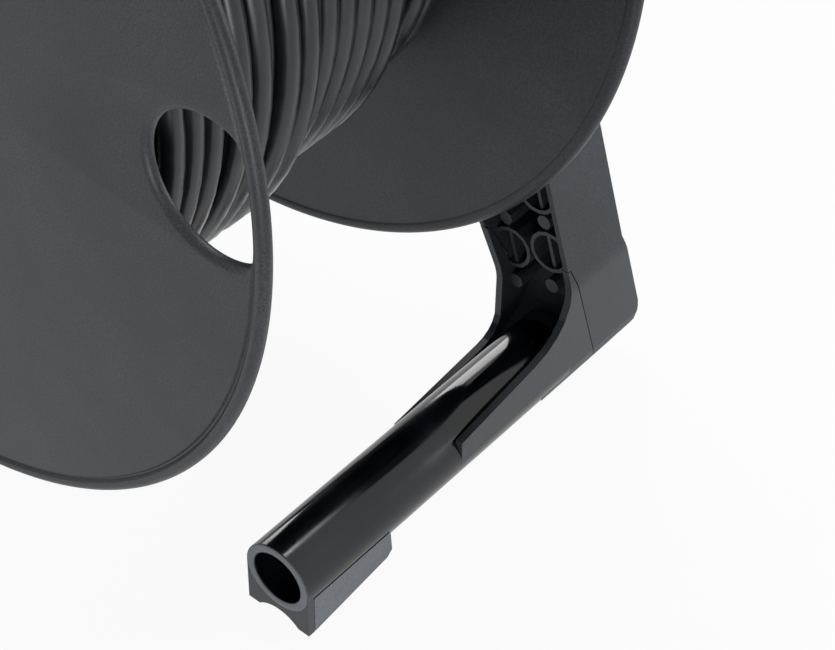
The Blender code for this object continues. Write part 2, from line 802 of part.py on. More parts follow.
def foot():
    """The foot moulding on the -Y side."""
    at_tube = (0, -TUBE_Y, TUBE_Z)
    body = moved(rod(TUBE_TIP_X + END_PLATE / 2, TUBE_END_X, TUBE_R, 32), at_tube)
    skirt = arc((-TUBE_Y, TUBE_Z), TUBE_R, math.pi, 0, 20)
    arch_r = ((TUBE_R - SKIRT_FOOT) ** 2 + SKIRT_ARCH**2) / (2 * SKIRT_ARCH)
    half = math.asin((TUBE_R - SKIRT_FOOT) / arch_r)
    under = arc((-TUBE_Y, SKIRT_ARCH - arch_r), arch_r, math.pi / 2 - half, math.pi / 2 + half, 8)
    skirt += [(-TUBE_Y + TUBE_R, 0), *under, (-TUBE_Y - TUBE_R, 0)]
    body = join(body, prism(skirt, TUBE_TIP_X, TUBE_TIP_X + END_PLATE))
    leg_ring = cut(
        prism(outline, MOUTH_X, BACK_X - LEG_RING_SHORT),
        prism(inset(outline, GUSSET_WALL), MOUTH_X - WEB, BACK_X),
    )
    foot_region = prism(foot_side_of_seam(0), -LEG_OUT_Y - WEB, 0, "Y")
    body = join(body, combined(leg_ring, foot_region, "INTERSECT"))
    body = join(body, gusset(-LEG_OUT_Y, -LEG_OUT_Y, 0))
    rear_tip = -TUBE_Y + TUBE_R - GUSSET_WALL + GUSSET_REAR_OUT
    body = join(body, gusset(rear_tip, -INSIDE_Y - GUSSET_WALL, GUSSET_DROP))
    reach = POCKET_X - FIT - RAMP_X
    rise = RAMP_TOP_Z - TUBE_Z
    turns = [math.pi / 2 * k / 10 for k in range(11)]
    upper = [
        (RAMP_X + (reach - RAMP_WALL) * math.sin(a), RAMP_TOP_Z - rise * math.cos(a))
        for a in turns
    ]
    lower = [
        (RAMP_X + reach * math.sin(a), RAMP_TOP_Z - (rise + RAMP_WALL) * math.cos(a))
        for a in reversed(turns)
    ]
    floor_tip = GUSSET_TIP_X + FLOOR_SHORT
    pocket = prism(inset(outline, FRAME_WALL + FIT), RAMP_X - 2 * WEB, BACK_X)
    ramp = prism(upper + lower, -LEG_OUT_Y - WEB, -INSIDE_Y + WEB, "Y")
    ramp = combined(ramp, pocket, "INTERSECT")
    low_ring = moved(rod(rib_x - FIT, BACK_X, RIB_RING_R + FIT, 24), (0, *columns[0]))
    ramp = cut(ramp, low_ring)
    floor = prism(
        [
            (floor_tip, TUBE_Z),
            (RAMP_X + RAMP_WALL / 2, TUBE_Z),
            (RAMP_X + RAMP_WALL / 2, TUBE_Z - RAMP_WALL),
            (floor_tip, TUBE_Z - RAMP_WALL),
        ],
        0,
        1,
        "Y",
    )
    bm = bmesh.new()
    bm.from_mesh(floor)
    for vert in bm.verts:
        part_way = (MOUTH_X - vert.co.x) / (MOUTH_X - GUSSET_TIP_X)
        far_side = -INSIDE_Y - GUSSET_WALL / 2
        far_side += (rear_tip + GUSSET_WALL / 2 - far_side) * part_way
        vert.co.y = far_side if vert.co.y > 0.5 else -TUBE_Y
    bm.to_mesh(floor)
    bm.free()
    body = join(body, ramp, floor)
    pins = [
        moved(rod(rib_x, POCKET_X - FIT, RIB_PIN_R, 12), (0, -y, z))
        for y, z in zip(FOOT_PIN_Y, FOOT_PIN_Z)
    ]
    body = join(body, *pins)
    bore = moved(rod(TUBE_TIP_X - WEB, TUBE_END_X - TUBE_PLUG, TUBE_BORE_R, 32), at_tube)
    screw_holes = [
        moved(rod(POCKET_X - FOOT_SCREW_DEEP, BACK_X, FOOT_SCREW_R + FIT / 2, 10), (0, -y, z))
        for y, z in zip(FOOT_PIN_Y, FOOT_PIN_Z)
    ]
    return cut(body, bore, low_ring, group(screw_holes))


finish("foot_front", foot(), FOOT_PLASTIC, root)
finish("foot_rear", mirrored(foot()), FOOT_PLASTIC, root)


def tip_pad():
    """A wedge saddle under the tip of a foot tube."""
    x0 = TUBE_TIP_X + END_PLATE + FIT
    x1 = x0 + PAD_LONG
    side = [
        (x0, 0),
        (x1 - 2 * mm, PAD_RISE - 1 * mm),
        (x1, PAD_RISE + 1 * mm),
        (x1 - 1 * mm, TUBE_Z),
        (x0, TUBE_Z),
    ]
    block = prism(side, -TUBE_Y - TUBE_R, -TUBE_Y + TUBE_R, "Y")
    saddle = moved(rod(x0 - WEB, x1 + WEB, TUBE_R + FIT, 40), (0, -TUBE_Y, TUBE_Z))
    under = prism(
        [
            (-TUBE_Y - TUBE_R + SKIRT_FOOT, -WEB),
            (-TUBE_Y - TUBE_R + SKIRT_FOOT, 0),
            (-TUBE_Y - 3 * mm, SKIRT_ARCH * 0.8),
            (-TUBE_Y + 3 * mm, SKIRT_ARCH * 0.8),
            (-TUBE_Y + TUBE_R - SKIRT_FOOT, 0),
            (-TUBE_Y + TUBE_R - SKIRT_FOOT, -WEB),
        ],
        x0 - WEB,
        x0 + PAD_LONG * 0.45,
    )
    return cut(block, saddle, under)


finish("tip_pad_front", tip_pad(), PAD_PLASTIC, root)
finish("tip_pad_rear", mirrored(tip_pad()), PAD_PLASTIC, root)


def heel_pad():
    """A rubber block under the heel of a leg."""
    x1 = BACK_X - 1 * mm
    middle = -INSIDE_Y - HEEL_PAD_IN - HEEL_PAD_WIDE / 2
    shape = rounded(
        [
            ((x1 - HEEL_PAD_LONG, 0), 1.5 * mm),
            ((x1, 0), 1.5 * mm),
            ((x1, bottom_z - FIT), 0),
            ((x1 - HEEL_PAD_LONG, bottom_z - FIT), 0),
        ],
        3,
    )
    return prism(shape, middle - HEEL_PAD_WIDE / 2, middle + HEEL_PAD_WIDE / 2, "Y")


finish("heel_pad_front", heel_pad(), BLACK_RUBBER, root)
finish("heel_pad_rear", mirrored(heel_pad()), BLACK_RUBBER, root)


def screw(head_x, length, place):
    """A small screw driven towards -X with its head at head_x."""
    return moved(
        turned(
            [
                (head_x + 1.6 * mm, 0),
                (head_x + 1.6 * mm, 1.4 * mm),
                (head_x + 0.8 * mm, 2.4 * mm),
                (head_x, 2.4 * mm),
                (head_x, FOOT_SCREW_R),
                (head_x - length, FOOT_SCREW_R),
                (head_x - length, 0),
            ],
            10,
        ),
        (0, *place),
    )


heel_face = BACK_X + HEEL_SEAT + FIT
for number, place in enumerate(pin_places, 1):
    foot_screw = screw(heel_face, heel_face - POCKET_X + FOOT_SCREW_DEEP - WASHER, place)
    finish(f"foot_screw_{number}", foot_screw, STEEL, root)


# Carrying bar across the top of the drum, with a soft grip and an end cap

bar_end = POCKET_X - FIT
bar_tip = MOUTH_X - GRIP_TO_FRAME - GRIP_LONG - BAR_BEYOND_GRIP
bar = tube(bar_tip, bar_end, BAR_R, BAR_BORE_R, 32)
bar_plug = rod(bar_end - 12 * mm, bar_end, BAR_BORE_R + 1 * mm, 32)
bar = join(bar, bar_plug)
bar_holes = [
    moved(rod(bar_end - 8 * mm, bar_end + WEB, FOOT_SCREW_R + FIT / 2, 10), (0, y, z - BAR_Z))
    for y, z in bar_screw_places
]
bar = cut(bar, group(bar_holes))
at_bar = (0, 0, BAR_Z)
finish("carry_bar", bar, FOOT_PLASTIC, root, at_bar)
bar_screw_solids = [screw(BACK_X + FIT, 9 * mm, place) for place in bar_screw_places]
for name, solid in zip(("bar_screw_front", "bar_screw_rear"), bar_screw_solids):
    finish(name, solid, STEEL, root)
grip_start = bar_tip + BAR_BEYOND_GRIP
waves = 15
grip_outer = [
    (
        grip_start + GRIP_LONG * k / waves,
        GRIP_R - GRIP_WAVE * (1 - math.cos(2 * math.pi * GRIP_WAVES * k / waves)) / 2,
    )
    for k in range(waves + 1)
]
grip = turned(
    [(grip_start, BAR_R + FIT), *grip_outer, (grip_start + GRIP_LONG, BAR_R + FIT)], 24
)
finish("bar_grip", grip, BLACK_RUBBER, root, at_bar)
end_cap = turned(
    [
        (bar_tip + 6 * mm, 0),
        (bar_tip + 6 * mm, BAR_BORE_R - FIT),
        (bar_tip - FIT, BAR_BORE_R - FIT),
        (bar_tip - FIT, BAR_R + 1.2 * mm),
        (bar_tip - 2 * mm, BAR_R + 1.2 * mm),
        (bar_tip - 3.2 * mm, BAR_R - 0.5 * mm),
        (bar_tip - 3.2 * mm, 0),
    ],
    32,
)
finish("bar_end_cap", end_cap, FOOT_PLASTIC, root, at_bar)


# Drum brake: a knob screws a pad against the far flange

at_brake = (0, 0, brake_z)
insert = tube(insert_start, INSERT_END_X, INSERT_R, SPINDLE_R + FIT, 24)
finish("brake_insert", insert, BRASS, root, at_brake)
pad_face = WEB_OUT + BRAKE_GAP
pad_back = pad_face + BRAKE_PAD
pad = tube(pad_face, pad_back, BRAKE_PAD_R, 2.4 * mm, 32)
finish("brake_pad", pad, BLACK_RUBBER, root, at_brake)
spindle = turned(
    [
        (pad_face + 1 * mm, 0),
        (pad_face + 1 * mm, 2.4 * mm - FIT),
        (pad_back + FIT, 2.4 * mm - FIT),
        (pad_back + FIT, SPINDLE_R),
        (KNOB_X + KNOB_LONG - 5 * mm, SPINDLE_R),
        (KNOB_X + KNOB_LONG - 5 * mm, 0),
    ],
    24,
)
finish("brake_spindle", spindle, STEEL, root, at_brake)
knob_outline = []
for k in range(KNOB_LOBES * 6):
    a = 2 * math.pi * k / (KNOB_LOBES * 6)
    r = KNOB_R - 1.6 * mm * (1 - math.cos(KNOB_LOBES * a)) / 2
    knob_outline.append((r * math.cos(a), r * math.sin(a)))
knob = prism(knob_outline, KNOB_X, KNOB_X + KNOB_LONG)
knob_bore = rod(KNOB_X - WEB, KNOB_X + KNOB_LONG - 5 * mm + FIT, SPINDLE_R + FIT, 24)
knob_hollow = tube(KNOB_X - WEB, KNOB_X + KNOB_LONG - 3 * mm, KNOB_R - 4 * mm, SPINDLE_R + 3 * mm, 32)
finish("brake_knob", cut(knob, knob_bore, knob_hollow), FRAME_PLASTIC, root, at_brake)


# Cable: the wound part as one turned ring, then its two ends

CORE_TOP = CORE_R + FIT
wound_from = TOP_TURNS_FROM - CABLE_R
wound_r = CORE_TOP + 2 * CABLE_R + (CABLE_LAYERS - 1) * LAYER_STEP
wound_end = 38 * mm + CABLE_R
low_end = WEB_IN - 2 * mm


def wound_ring():
    """The winding as one plain ring, higher where the last turns cross over."""
    top_end = TOP_TURNS_TO + CABLE_R
    profile = [
        (wound_from, CORE_TOP),
        (wound_from, wound_r + TOP_TURNS_RISE - CABLE_R),
        (wound_from + CABLE_R / 2, wound_r + TOP_TURNS_RISE),
        (top_end - CABLE_R / 2, wound_r + TOP_TURNS_RISE),
        (top_end, wound_r),
        (wound_end - CABLE_R / 2, wound_r),
        (wound_end, wound_r - CABLE_R),
        (wound_end, wound_r - LAYER_STEP),
        (low_end, wound_r - LAYER_STEP),
        (low_end, CORE_TOP),
    ]
    return turned(profile, 40)


finish("cable_winding", wound_ring(), CABLE_JACKET, drum)


def cable(name, points, parent):
    """A plain round tube of jacketed cable along a path."""
    curve = bpy.data.curves.new(name, "CURVE")
    curve.dimensions = "3D"
    curve.bevel_depth = CABLE_R
    curve.bevel_resolution = 3
    curve.use_fill_caps = True
    spline = curve.splines.new("POLY")
    spline.points.add(len(points) - 1)
    for point, place in zip(spline.points, points):
        point.co = (*place, 1.0)
    curve.materials.append(CABLE_JACKET)
    made = bpy.data.objects.new(name, curve)
    made.parent = parent
    bpy.context.scene.collection.objects.link(made)


def smooth_path(places, steps):
    """Points along a smooth curve through the given places."""
    places = [Vector(p) for p in places]
    padded = [2 * places[0] - places[1], *places, 2 * places[-1] - places[-2]]
    points = []
    for k in range(len(places) - 1):
        p0, p1, p2, p3 = padded[k : k + 4]
        for j in range(steps):
            t = j / steps
            points.append(
                0.5
                * (
                    2 * p1
                    + (p2 - p0) * t
                    + (2 * p0 - 5 * p1 + 4 * p2 - p3) * t**2
                    + (3 * p1 - p0 - 3 * p2 + p3) * t**3
                )
            )
    points.append(places[-1])
    return points


def connector(prefix, start, direction, parent):
    """A round multi-way fibre connector: boot, shell, coupling ring and dust cap."""
    turn = Vector((1, 0, 0)).rotation_difference(Vector(direction)).to_matrix()
    entry = CABLE_R + FIT
    boot_outer = [
        (BOOT_LONG * k / 8, entry + 1.2 * mm + 2.4 * mm * (k / 8) ** 1.5) for k in range(9)
    ]
    boot = turned([(0, entry), *boot_outer, (BOOT_LONG, entry)], 24)
    finish(prefix + "_boot", boot, BLACK_RUBBER, parent, start, turn)
    x0 = BOOT_LONG + FIT
    x1 = x0 + BODY_LONG
    shell = turned(
        [
            (x0, 0),
            (x0, BODY_R - 1 * mm),
            (x0 + 1 * mm, BODY_R),
            (x1 - 9 * mm, BODY_R),
            (x1 - 9 * mm, BODY_R - 1.2 * mm),
            (x1 - 6 * mm, BODY_R - 1.2 * mm),
            (x1 - 6 * mm, BODY_R),
            (x1, BODY_R),
            (x1, NOSE_R),
            (x1 + NOSE_LONG, NOSE_R),
            (x1 + NOSE_LONG, 0),
        ],
        32,
    )
    finish(prefix + "_shell", shell, SHELL_METAL, parent, start, turn)
    ring_start = x1 - RING_LONG + NOSE_LONG / 2
    fluted = []
    for k in range(RING_FLUTES * 2):
        a = 2 * math.pi * k / (RING_FLUTES * 2)
        r = RING_R - 0.5 * mm * (1 - math.cos(RING_FLUTES * a)) / 2
        fluted.append((r * math.cos(a), r * math.sin(a)))
    ring = prism(fluted, ring_start, ring_start + RING_LONG)
    ring = cut(ring, rod(ring_start - WEB, ring_start + RING_LONG + WEB, BODY_R + FIT, 32))
    finish(prefix + "_ring", ring, SHELL_METAL, parent, start, turn)
    cap_start = ring_start + RING_LONG + FIT
    cap_end = cap_start + CAP_LONG
    dust_cap = turned(
        [
            (cap_start, NOSE_R + FIT),
            (cap_start, RING_R - 0.3 * mm),
            (cap_end - 1.5 * mm, RING_R - 0.3 * mm),
            (cap_end, RING_R - 1.8 * mm),
            (cap_end, 0),
            (cap_end - 3 * mm, 0),
            (cap_end - 3 * mm, NOSE_R + FIT),
        ],
        32,
    )
    finish(prefix + "_cap", dust_cap, BLACK_RUBBER, parent, start, turn)


tail_x = wound_from - CABLE_R - 2 * FIT
inner_start = (-57.3 * mm, INNER_BOOT_Y, -INNER_CHORD)
connector("inner", inner_start, (0, 1, 0), drum)
inner_places = [
    (tail_x, -74.5 * mm, 24 * mm),
    (tail_x, -73.9 * mm, 8 * mm),
    (-61.0 * mm, -68.0 * mm, -10 * mm),
    (-58.5 * mm, -58.0 * mm, -22.5 * mm),
    (-57.3 * mm, -49.0 * mm, -31.5 * mm),
    (-57.3 * mm, INNER_BOOT_Y, -INNER_CHORD),
    (-57.3 * mm, INNER_BOOT_Y + BOOT_LONG / 2, -INNER_CHORD),
    (-57.3 * mm, INNER_BOOT_Y + BOOT_LONG - FIT, -INNER_CHORD),
]
cable("cable_inner", smooth_path(inner_places, 2), drum)

outer_x = TOP_TURNS_TO - CABLE_PITCH
outer_r = wound_r + TOP_TURNS_RISE + CABLE_R + FIT
leave = Vector((0, math.cos(OUTER_LEAVES), math.sin(OUTER_LEAVES)))
tangent = Vector((0, math.sin(OUTER_LEAVES), -math.cos(OUTER_LEAVES)))
outer_points = []
for k in range(13):
    a = OUTER_LEAVES + math.radians(60) * (1 - k / 12)
    outer_points.append((outer_x, outer_r * math.cos(a), outer_r * math.sin(a)))
leave_point = Vector((outer_x, 0, 0)) + leave * outer_r
for k in range(1, 7):
    outer_points.append(leave_point + tangent * ((OUTER_RUN + BOOT_LONG - FIT) * k / 6))
cable("cable_outer", outer_points, drum)
connector("outer", leave_point + tangent * OUTER_RUN, tangent, drum)
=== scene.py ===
import math

import bmesh
import bpy
from mathutils import Matrix, Vector


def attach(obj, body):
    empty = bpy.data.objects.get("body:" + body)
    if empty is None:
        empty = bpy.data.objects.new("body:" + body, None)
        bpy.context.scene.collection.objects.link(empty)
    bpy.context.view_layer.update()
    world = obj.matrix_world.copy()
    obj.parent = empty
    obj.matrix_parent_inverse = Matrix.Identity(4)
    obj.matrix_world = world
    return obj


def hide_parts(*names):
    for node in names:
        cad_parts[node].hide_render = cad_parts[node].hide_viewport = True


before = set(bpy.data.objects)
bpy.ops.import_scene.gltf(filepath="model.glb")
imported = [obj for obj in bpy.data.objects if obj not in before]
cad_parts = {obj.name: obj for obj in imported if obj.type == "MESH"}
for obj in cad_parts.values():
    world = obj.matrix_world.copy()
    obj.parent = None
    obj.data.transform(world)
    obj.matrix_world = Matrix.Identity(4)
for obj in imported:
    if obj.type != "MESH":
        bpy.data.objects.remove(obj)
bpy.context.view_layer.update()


# Camera, floor and lamps
# The drum stands on a matt white board under broad soft lamps. The camera looks down at the
# front foot from the open side of the drum. Places are measured from the middle of the axle,
# where the drum's axis is X, the open side is -X and the front is -Y.

mm = 0.001
AXLE = Vector((-27.15 * mm, 0, 184.5 * mm))
CAMERA_PLACE = Vector((-331.7, -410.4, 322.9)) * mm
CAMERA_LOOKS = Vector((0.5606, 0.4586, -0.6895))
CAMERA_UP = Vector((0, 0.01745, 0.99985))


def hex_colour(code):
    """An sRGB hex value as linear red, green, blue and alpha."""
    parts = [int(code[k : k + 2], 16) / 255 for k in (0, 2, 4)]
    return [v / 12.92 if v <= 0.04045 else ((v + 0.055) / 1.055) ** 2.4 for v in parts] + [1.0]


def add_node(tree, kind, feeds=(), **settings):
    """Adds a node, sets its inputs or properties, and links (input, socket) pairs to it."""
    node = tree.nodes.new(kind)
    for key, value in settings.items():
        label = key.replace("_", " ")
        if label in node.inputs:
            node.inputs[label].default_value = value
        else:
            setattr(node, key, value)
    for target, source in feeds:
        tree.links.new(source, node.inputs[target])
    return node


BOARD_SIDE = 12
BOARD_GLOW = 0.94  # the share of plain white in what the camera sees of it


def white_table():
    """Matt white board. The camera and mirrors see it near white, and it keeps the shadow."""
    made = bpy.data.materials.new("Matt white board")
    made.use_nodes = True
    tree = made.node_tree
    tree.nodes.clear()
    board = add_node(tree, "ShaderNodeBsdfDiffuse", Color=hex_colour("f2f2f2"))
    glow = add_node(tree, "ShaderNodeEmission", Color=hex_colour("ffffff"))
    ray = add_node(tree, "ShaderNodeLightPath")
    seen = add_node(
        tree,
        "ShaderNodeMath",
        [(0, ray.outputs["Is Camera Ray"]), (1, ray.outputs["Is Glossy Ray"])],
        operation="MAXIMUM",
    )
    share = add_node(tree, "ShaderNodeMath", [(0, seen.outputs[0])], operation="MULTIPLY")
    share.inputs[1].default_value = BOARD_GLOW
    both = [(0, share.outputs[0]), (1, board.outputs[0]), (2, glow.outputs[0])]
    mixed = add_node(tree, "ShaderNodeMixShader", both)
    add_node(tree, "ShaderNodeOutputMaterial", [("Surface", mixed.outputs[0])])
    return made


bpy.ops.mesh.primitive_plane_add(size=BOARD_SIDE, location=(0, 0, -0.2 * mm))
table = bpy.context.object
table.name = "white_table"
table.data.materials.append(white_table())

studio = bpy.data.worlds.new("Studio walls")
bpy.context.scene.world = studio
studio.use_nodes = True
studio.node_tree.nodes.clear()
wall_ray = add_node(studio.node_tree, "ShaderNodeLightPath")
wall_mirror = add_node(
    studio.node_tree,
    "ShaderNodeMath",
    [(0, wall_ray.outputs["Is Glossy Ray"]), (1, wall_ray.outputs["Is Transmission Ray"])],
    operation="MAXIMUM",
)
wall_seen = add_node(
    studio.node_tree,
    "ShaderNodeMath",
    [(0, wall_ray.outputs["Is Camera Ray"]), (1, wall_mirror.outputs[0])],
    operation="MAXIMUM",
)
wall_tone = add_node(
    studio.node_tree,
    "ShaderNodeMixRGB",
    [("Fac", wall_seen.outputs[0])],
    Color1=hex_colour("50545a"),
    Color2=hex_colour("ffffff"),
)
wall_light = add_node(studio.node_tree, "ShaderNodeBackground", [("Color", wall_tone.outputs[0])])
add_node(studio.node_tree, "ShaderNodeOutputWorld", [("Surface", wall_light.outputs[0])])


def soft_box(name, place, side, power):
    """A square lamp of so many watts that faces the drum and hides from the camera."""
    light = bpy.data.lights.new(name, "AREA")
    light.shape = "SQUARE"
    light.size = side
    light.energy = power
    lamp = bpy.data.objects.new(name, light)
    bpy.context.scene.collection.objects.link(lamp)
    lamp.location = place
    lamp.visible_camera = False
    lamp.rotation_euler = (AXLE - Vector(place)).to_track_quat("-Z", "Y").to_euler()


soft_box("top_box", (0.5, 0.3, 1.5), 0.8, 13)
soft_box("right_box", (1.1, -1.2, 0.5), 0.6, 10)
soft_box("back_box", (0.8, 1.3, 0.6), 0.8, 9)
soft_box("low_left_box", (-0.42, -0.42, 0.03), 0.2, 1.3)

FOCAL_LENGTH = 94.84
lens = bpy.data.cameras.new("camera")
lens.lens = FOCAL_LENGTH
lens.sensor_width = 36
lens.clip_start = 10 * mm
camera = bpy.data.objects.new("camera", lens)
bpy.context.scene.collection.objects.link(camera)
bpy.context.scene.camera = camera
looks = CAMERA_LOOKS.normalized()
right = looks.cross(CAMERA_UP).normalized()
camera.location = AXLE + CAMERA_PLACE
turned = Matrix((right, right.cross(looks), -looks)).transposed()
camera.rotation_euler = turned.to_euler()
bpy.context.scene.view_settings.view_transform = "Standard"


# Cable
# A round fibre cable in an extruded polyurethane jacket. It is wound on the core in five nested
# layers, with a few loose turns on top, in one unbroken length. The inner end goes through the
# core's slot into the hub cup, and the outer end hangs down at the back.

CABLE_R = 3.4 * mm
TURN_STEP = 6.976 * mm
LAYER_STEP = 6.05 * mm
FIRST_TURN_R = 78.2 * mm
FIRST_TURN_X = -54.4 * mm
LEAD_TURN_X = -61.8 * mm
STARTS_AT = math.radians(162)
FULL_LAYERS = 4
TURNS_ACROSS = 18
LEAD_STEPS = 48
HIDDEN_STEPS = 24
GLIMPSED_STEPS = 60
SHOWN_STEPS = 72
# The last full layer has a gap here, and the turns above it lie as chance put them, in mm
GAP_FROM_X = 40 * mm
GAP_TO_X = 47.5 * mm
TOP_LAYER_R = FIRST_TURN_R + LAYER_STEP * FULL_LAYERS
TOP_LAYER_X = [-49.1, -42.2, -35.3, -28.4, -21.5, -14.6, -7.7]
TOP_LAYER_X += [-0.8, 6.1, 13.0, 19.9, 26.75, 33.6]
LOOSE_TURNS_X = [-6.4, -13.6, -23.9, -31.0, -41.0, -47.8, -54.4]
LOOSE_TURNS_R = 107.4 * mm
STEPS_OVER_FROM = 0.3
STEPS_OVER_FOR = 0.4
LONG_STEP = 20 * mm
OUTER_END_X = -14.95 * mm
OUTER_END_R = 114.5 * mm
OUTER_LEAVES = math.radians(60)
OUTER_HANGS = 39.7 * mm
INNER_END = Vector((-57.3, -14.8, -37.0)) * mm
INNER_TAIL = [
    (-57.3, -27.0, -37.0),
    (-57.4, -39.0, -34.4),
    (-57.7, -50.0, -29.2),
    (-58.6, -58.3, -22.2),
    (-59.7, -63.9, -16.0),
    (-60.6, -69.4, -9.2),
    (-61.3, -73.3, -1.5),
    (-61.7, -75.5, 6.9),
    (-61.8, -75.9, 15.6),
    (-61.8, -74.4, 24.2),
]


def jacket_plastic(name, colour, worn, roughness):
    """Smooth dark plastic from a polished die: even colour, with a fine drag and faint scuffs."""
    made = bpy.data.materials.new(name)
    made.use_nodes = True
    tree = made.node_tree
    shader = tree.nodes["Principled BSDF"]
    place = add_node(tree, "ShaderNodeTexCoord").outputs["Object"]
    # Extruder drag is about 0.05 mm wide, too fine to show, so it is drawn at 0.4 mm
    drag = add_node(
        tree, "ShaderNodeTexNoise", [("Vector", place)], Scale=1 / (0.4 * mm), Detail=2.0
    )
    # Scuffs from handling lie about 18 mm apart
    scuff = add_node(
        tree, "ShaderNodeTexNoise", [("Vector", place)], Scale=1 / (18 * mm), Detail=6.0
    )
    tone = add_node(tree, "ShaderNodeValToRGB", [("Fac", scuff.outputs["Fac"])])
    tone.color_ramp.elements[0].position = 0.4
    tone.color_ramp.elements[0].color = hex_colour(colour)
    tone.color_ramp.elements[1].position = 0.72
    tone.color_ramp.elements[1].color = hex_colour(worn)
    sheen_map = add_node(
        tree,
        "ShaderNodeMapRange",
        [("Value", scuff.outputs["Fac"])],
        From_Min=0.35,
        From_Max=0.7,
        To_Min=roughness - 0.05,
        To_Max=roughness + 0.1,
    )
    bump = add_node(
        tree,
        "ShaderNodeBump",
        [("Height", drag.outputs["Fac"])],
        Strength=0.15,
        Distance=0.05 * mm,
    )
    tree.links.new(tone.outputs["Color"], shader.inputs["Base Color"])
    tree.links.new(sheen_map.outputs["Result"], shader.inputs["Roughness"])
    tree.links.new(bump.outputs["Normal"], shader.inputs["Normal"])
    shader.inputs["IOR"].default_value = 1.5
    return made


def smooth_path(places, steps):
    """Points along a smooth curve through the given places."""
    places = [Vector(p) for p in places]
    padded = [2 * places[0] - places[1], *places, 2 * places[-1] - places[-2]]
    points = []
    for k in range(len(places) - 1):
        p0, p1, p2, p3 = padded[k : k + 4]
        for j in range(steps):
            t = j / steps
            flat = 2 * p1 + (p2 - p0) * t + (2 * p0 - 5 * p1 + 4 * p2 - p3) * t**2
            points.append(0.5 * (flat + (3 * p1 - p0 - 3 * p2 + p3) * t**3))
    points.append(places[-1])
    return points


def on_drum(x, r, angle):
    """A point at radius r round the drum's axis, its angle counted from the back."""
    return Vector((x, r * math.cos(angle), r * math.sin(angle)))


def eased(t):
    """A smooth step from 0 to 1."""
    t = min(max(t, 0), 1)
    return t * t * (3 - 2 * t)


def wound_places():
    """The middle of the cable along every turn, from the core outwards."""
    turns = [(LEAD_TURN_X, FIRST_TURN_R, LEAD_STEPS)]
    for layer in range(FULL_LAYERS):
        # Each layer lies in the grooves of the one below, so every other one starts half a step on
        odd = layer % 2
        row = [FIRST_TURN_X + TURN_STEP * (k + odd / 2) for k in range(TURNS_ACROSS - odd)]
        steps = HIDDEN_STEPS
        if layer == FULL_LAYERS - 1:
            row = [x for x in row if not GAP_FROM_X < x < GAP_TO_X]
            steps = GLIMPSED_STEPS
        if odd:
            row.reverse()
        turns += [(x, FIRST_TURN_R + LAYER_STEP * layer, steps) for x in row]
    turns += [(x * mm, TOP_LAYER_R, SHOWN_STEPS) for x in TOP_LAYER_X]
    turns += [(x * mm, LOOSE_TURNS_R, SHOWN_STEPS) for x in LOOSE_TURNS_X]
    points = []
    for (x0, r0, steps), (x1, r1, _) in zip(turns, turns[1:]):
        # A turn keeps its place round the front and steps over to the next at the back. Where it
        # goes far over, it rides over the turns below
        hump = CABLE_R * 2 if abs(x1 - x0) > LONG_STEP else 0
        for k in range(steps):
            over = eased((k / steps - STEPS_OVER_FROM) / STEPS_OVER_FOR)
            r = r0 + (r1 - r0) * over + hump * 4 * over * (1 - over)
            angle = STARTS_AT - 2 * math.pi * k / steps
            points.append(on_drum(x0 + (x1 - x0) * over, r, angle))
    # The outer end crosses to its place, lifts off the turns and hangs down at the back
    x0, r0, _ = turns[-1]
    for k in range(22):
        over = eased(k / 22)
        r = r0 + (OUTER_END_R - r0) * min(over * 3, 1)
        x = x0 + (OUTER_END_X - x0) * over
        angle = STARTS_AT + (OUTER_LEAVES - STARTS_AT) * k / 22
        points.append(on_drum(x, r, angle))
    for k in range(12):
        points.append(on_drum(OUTER_END_X, OUTER_END_R, OUTER_LEAVES * (1 - k / 12)))
    for k in range(7):
        points.append(Vector((OUTER_END_X, OUTER_END_R, -OUTER_HANGS * k / 6)))
    return points


# The tail is led on towards the first turn's next point, so that it runs into it smoothly
next_place = on_drum(LEAD_TURN_X, FIRST_TURN_R, STARTS_AT - 2 * math.pi / LEAD_STEPS)
tail = [INNER_END, *(Vector(p) * mm for p in INNER_TAIL), next_place]
TAIL_STEPS = 3
cable_route = smooth_path(tail, TAIL_STEPS)[: -TAIL_STEPS - 1] + wound_places()
cable_curve = bpy.data.curves.new("fibre_cable", "CURVE")
cable_curve.dimensions = "3D"
cable_curve.bevel_depth = CABLE_R
cable_curve.bevel_resolution = 4
cable_curve.use_fill_caps = True
cable_line = cable_curve.splines.new("POLY")
cable_line.points.add(len(cable_route) - 1)
for point, place in zip(cable_line.points, cable_route):
    point.co = (*(place + AXLE), 1.0)
JACKET = jacket_plastic("Extruded polyurethane", "191c20", "2c3137", 0.3)
cable_curve.materials.append(JACKET)
fibre_cable = bpy.data.objects.new("fibre_cable", cable_curve)
bpy.context.scene.collection.objects.link(fibre_cable)
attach(fibre_cable, "drum")
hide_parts("cable_winding", "cable_inner", "cable_outer")


# Connectors
# A round multi-way fibre connector on each cable end: a rubber boot over the strain relief, a
# turned shell, a fluted coupling ring that turns on it, and a push-on rubber dust cap.

def finish_node(name, finish):
    """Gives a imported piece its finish."""
    for place in bpy.data.objects[name].material_slots:
        place.material = finish


